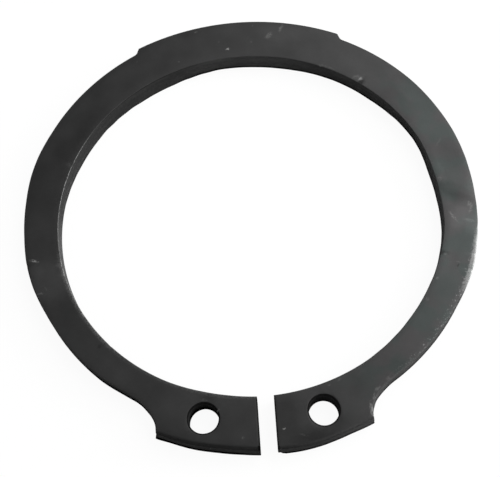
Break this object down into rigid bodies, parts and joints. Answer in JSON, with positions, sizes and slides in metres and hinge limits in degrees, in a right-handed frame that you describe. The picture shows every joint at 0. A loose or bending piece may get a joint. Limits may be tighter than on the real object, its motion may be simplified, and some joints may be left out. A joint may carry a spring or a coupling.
{
  "type": "external retaining ring",
  "caption": "Flat C-shaped ring of spring steel that clips into a groove on a shaft, with a plier hole in each lug at its gap and a low pad across its back.",
  "frame": {"origin": "centre of the bore, on the sharp-edged face that the ring lies on", "axes": "+Z along the bore's axis, out of the face with the rolled edges; +Y towards the back pad; the gap between the lugs is towards -Y"},
  "size_m": [0.043, 0.0458, 0.0018],
  "materials": {
    "spring_steel": "black phosphated and oiled spring steel, satin, with worn edges"
  },
  "bodies": {
    "root": {"retaining_ring": "spring_steel"}
  },
  "joints": []
}
